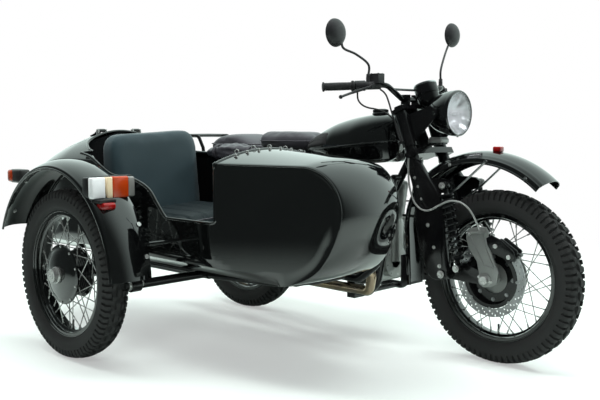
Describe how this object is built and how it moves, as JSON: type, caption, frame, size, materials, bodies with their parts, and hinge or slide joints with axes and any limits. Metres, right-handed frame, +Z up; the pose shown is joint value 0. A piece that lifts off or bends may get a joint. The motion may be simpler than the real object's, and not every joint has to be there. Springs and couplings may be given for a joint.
{
  "type": "sidecar motorcycle",
  "caption": "Sidecar motorcycle: flat-twin motorcycle with a leading-link fork, wire wheels and two saddles, joined to a boat-shaped one-seat sidecar with a trunk lid.",
  "frame": {"origin": "on the ground, below the middle of the box round the whole outfit with its mirrors", "axes": "+X forward, +Y to the rider's left (the sidecar is on the -Y side), +Z up; the long way of the outfit is X"},
  "size_m": [2.4498, 1.71, 1.4074],
  "materials": {
    "paint_black": "gloss",
    "frame_black": "satin",
    "alloy": "as-cast",
    "alloy_polished": "polished",
    "chrome": "polished",
    "steel": "satin",
    "exhaust_steel": "heat-tinted",
    "tyre_rubber": "matte",
    "rubber": "matte",
    "seat_vinyl": "satin",
    "cushion_vinyl": "satin",
    "lamp_glass": "gloss",
    "mirror_silver": "mirror",
    "lamp_plastic": "gloss",
    "control_black": "matte"
  },
  "bodies": {
    "chassis": {"axles": "steel", "cradle_frame": "frame_black", "cylinders": "alloy", "engine_case": "alloy", "exhausts": "exhaust_steel", "foot_controls": "steel", "foot_pegs": "rubber", "fuel_cap": "alloy_polished", "fuel_tank": "paint_black", "grab_rail": "chrome", "induction": "alloy", "lamp_housings": "lamp_plastic", "rear_mudguard": "paint_black", "rear_shocks": "frame_black", "saddles": "seat_vinyl", "shaft_drive": "alloy", "side_boxes": "paint_black", "sidecar_body": "paint_black", "sidecar_cushions": "cushion_vinyl", "sidecar_frame": "frame_black", "sidecar_mudguard": "paint_black", "sidecar_swing_arm": "frame_black", "swing_arm": "frame_black", "upper_struts": "frame_black"},
    "steering": {"fork_yokes": "frame_black", "fork_legs": "frame_black", "leading_links": "frame_black", "front_shocks": "frame_black", "fork_shrouds": "paint_black", "headlamp_shell": "paint_black", "headlamp_lens": "lamp_glass", "instrument": "control_black", "handlebar": "chrome", "grips": "rubber", "hand_control_right": "control_black", "hand_control_left": "control_black", "mirrors": "control_black", "mirror_glass": "mirror_silver", "brake_caliper": "alloy", "fork_lines": "rubber", "front_mudguard": "paint_black", "mud_flap": "rubber", "front_axle": "steel"},
    "front_wheel_body": {"front_tyre": "tyre_rubber", "front_wheel": "alloy_polished", "front_brake_disc": "steel"},
    "rear_wheel_body": {"rear_tyre": "tyre_rubber", "rear_wheel": "alloy_polished", "rear_hub_cover": "paint_black"},
    "sidecar_wheel_body": {"sidecar_tyre": "tyre_rubber", "sidecar_wheel": "alloy_polished", "sidecar_hub_cover": "paint_black"},
    "trunk_lid_body": {"trunk_lid": "paint_black"}
  },
  "joints": [
    {"name": "steering", "type": "hinge", "parent": "chassis", "child": "steering", "pos_m": [0.48493, 0.3795, 0.9], "axis": [-0.454, 0, 0.891], "range_deg": [-38, 38]},
    {"name": "front_wheel_spin", "type": "hinge", "parent": "steering", "child": "front_wheel_body", "pos_m": [0.8835, 0.3795, 0.343], "axis": [0, 1, 0], "continuous": true},
    {"name": "rear_wheel_spin", "type": "hinge", "parent": "chassis", "child": "rear_wheel_body", "pos_m": [-0.5915, 0.3795, 0.343], "axis": [0, 1, 0], "continuous": true},
    {"name": "sidecar_wheel_spin", "type": "hinge", "parent": "chassis", "child": "sidecar_wheel_body", "pos_m": [-0.3915, -0.7605, 0.343], "axis": [0, 1, 0], "continuous": true},
    {"name": "trunk_lid_hinge", "type": "hinge", "parent": "chassis", "child": "trunk_lid_body", "pos_m": [-0.7905, -0.2655, 0.912], "axis": [0, 1, 0], "range_deg": [0, 70]}
  ]
}
